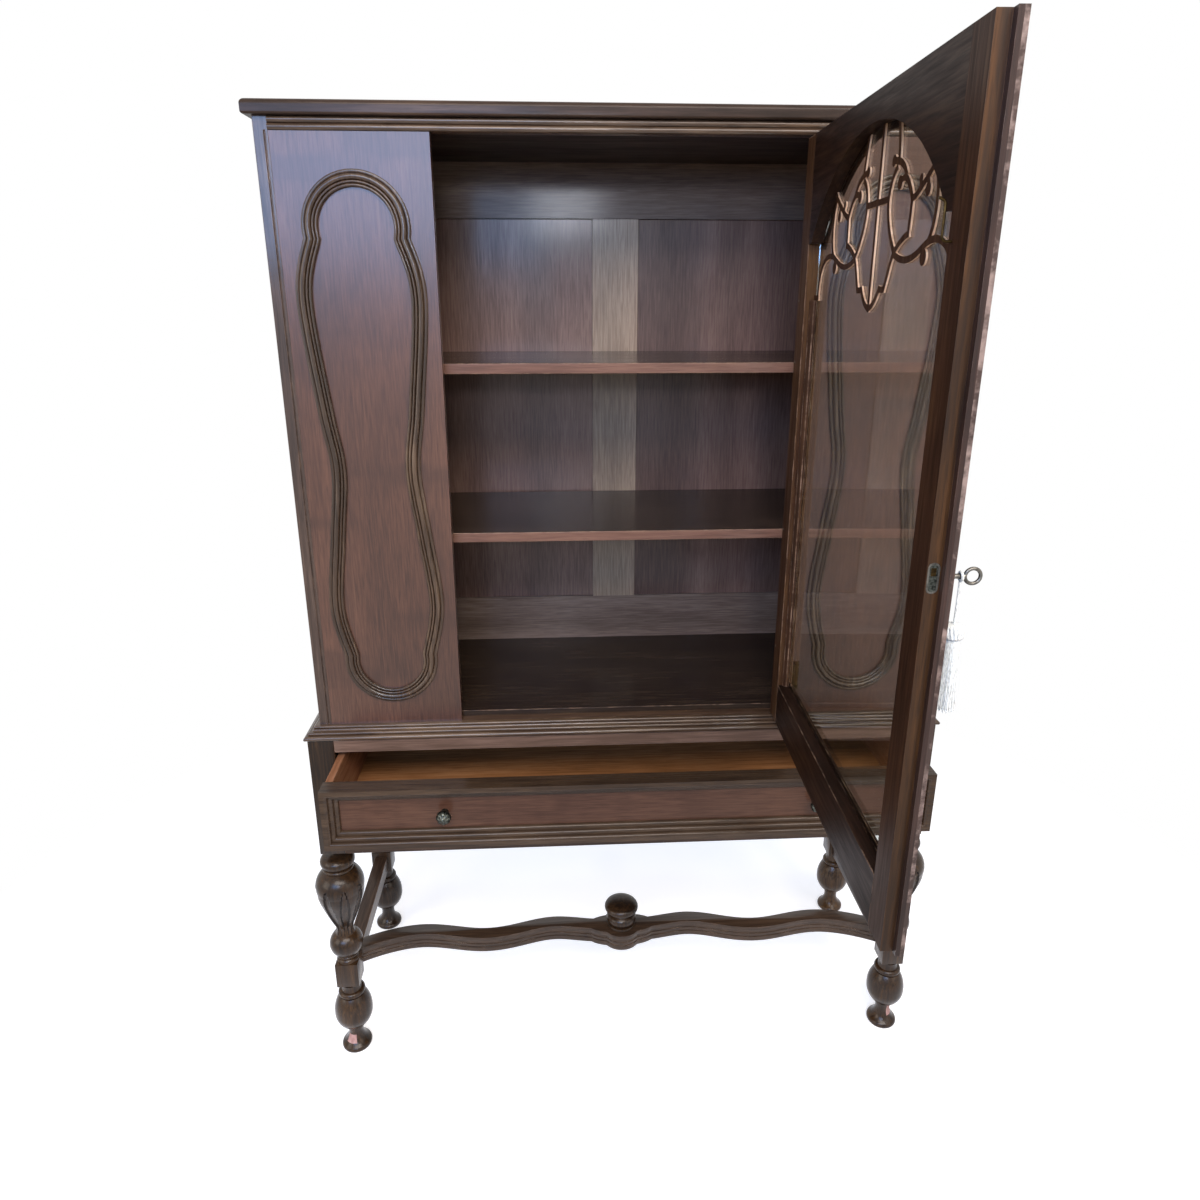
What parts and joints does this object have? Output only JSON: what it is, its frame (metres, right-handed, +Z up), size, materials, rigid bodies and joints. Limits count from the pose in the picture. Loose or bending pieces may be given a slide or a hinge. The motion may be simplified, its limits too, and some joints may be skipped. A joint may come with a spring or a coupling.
{
  "type": "display cupboard",
  "caption": "Walnut display cupboard on turned legs with a serpentine stretcher, an arched glazed door with fretwork, shelves, panels with violin mouldings and a long drawer.",
  "frame": {"origin": "on the floor, under the middle of the lower case", "axes": "+X to the cupboard's right as seen from the front, +Y to its back, +Z up"},
  "size_m": [1.1106, 0.9429, 1.62],
  "materials": {
    "walnut": "dark stained, satin lacquer",
    "panel_veneer": "stained veneer, gloss",
    "back_wood": "worn stain, satin",
    "shelf_wood": "dark stain, satin",
    "drawer_wood": "bare, aged",
    "glass": "clear sheet",
    "hinge_brass": "tarnished",
    "knob_bronze": "dark patina",
    "lock_metal": "worn",
    "tassel_yarn": "matte yarn"
  },
  "bodies": {
    "case": {"top_board": "walnut", "header_moulding": "walnut", "waist_front": "walnut", "waist_left": "walnut", "waist_right": "walnut", "post_left": "walnut", "post_right": "walnut", "side_left": "walnut", "side_right": "walnut", "front_panel_left": "panel_veneer", "front_panel_right": "panel_veneer", "floor_board": "shelf_wood", "shelf_low": "shelf_wood", "shelf_high": "shelf_wood", "door_sill": "walnut", "back_frame": "back_wood", "back_panel_left": "back_wood", "back_panel_right": "back_wood", "violin_left": "walnut", "violin_right": "walnut", "lower_top_rail": "walnut", "lower_front_rail": "walnut", "lower_back": "back_wood", "lower_side_left": "walnut", "lower_side_right": "walnut", "runner_left": "drawer_wood", "runner_right": "drawer_wood", "leg_front_left": "walnut", "leg_front_right": "walnut", "leg_back_left": "walnut", "leg_back_right": "walnut", "side_stretcher_left": "walnut", "side_stretcher_right": "walnut", "cross_stretcher": "walnut", "finial": "walnut", "hinge_case_low": "hinge_brass", "hinge_case_high": "hinge_brass"},
    "door": {"door_stile_hinge": "walnut", "door_stile_free": "walnut", "door_rail_low": "walnut", "door_rail_arch": "walnut", "glass_pane": "glass", "glass_bead_hinge": "walnut", "glass_bead_free": "walnut", "fretwork": "walnut", "hinge_door_low": "hinge_brass", "hinge_door_high": "hinge_brass", "lock_case": "lock_metal"},
    "drawer": {"drawer_front": "walnut", "drawer_side_left": "drawer_wood", "drawer_side_right": "drawer_wood", "drawer_back": "drawer_wood", "drawer_bottom": "drawer_wood", "knob_left": "knob_bronze", "knob_right": "knob_bronze"},
    "key": {"key": "lock_metal"},
    "bolt": {"lock_bolt": "lock_metal"},
    "tassel": {"tassel_cord": "tassel_yarn", "tassel": "tassel_yarn"}
  },
  "joints": [
    {"name": "door_hinge", "type": "hinge", "parent": "case", "child": "door", "pos_m": [0.272, -0.1805, 1.135], "axis": [0, 0, 1], "range_deg": [-88.2, 60]},
    {"name": "drawer_slide", "type": "slide", "parent": "case", "child": "drawer", "axis": [0, -1, 0], "range_m": [-0.1145, 0.125]},
    {"name": "key_turn", "type": "hinge", "parent": "door", "child": "key", "pos_m": [0.25132, -0.71111, 1.1135], "axis": [0.9995, -0.0314, 0], "range_deg": [0, 90]},
    {"name": "bolt_slide", "type": "slide", "parent": "door", "child": "bolt", "axis": [-0.0314, -0.9995, 0], "range_m": [0, 0.008]},
    {"name": "tassel_swing", "type": "hinge", "parent": "door", "child": "tassel", "pos_m": [0.25132, -0.71111, 1.1135], "axis": [0.9995, -0.0314, 0], "range_deg": [-60, 60]}
  ],
  "couplings": [
    {"joint": "key_turn", "follows": "bolt_slide", "rad_per_m": 196.34}
  ]
}
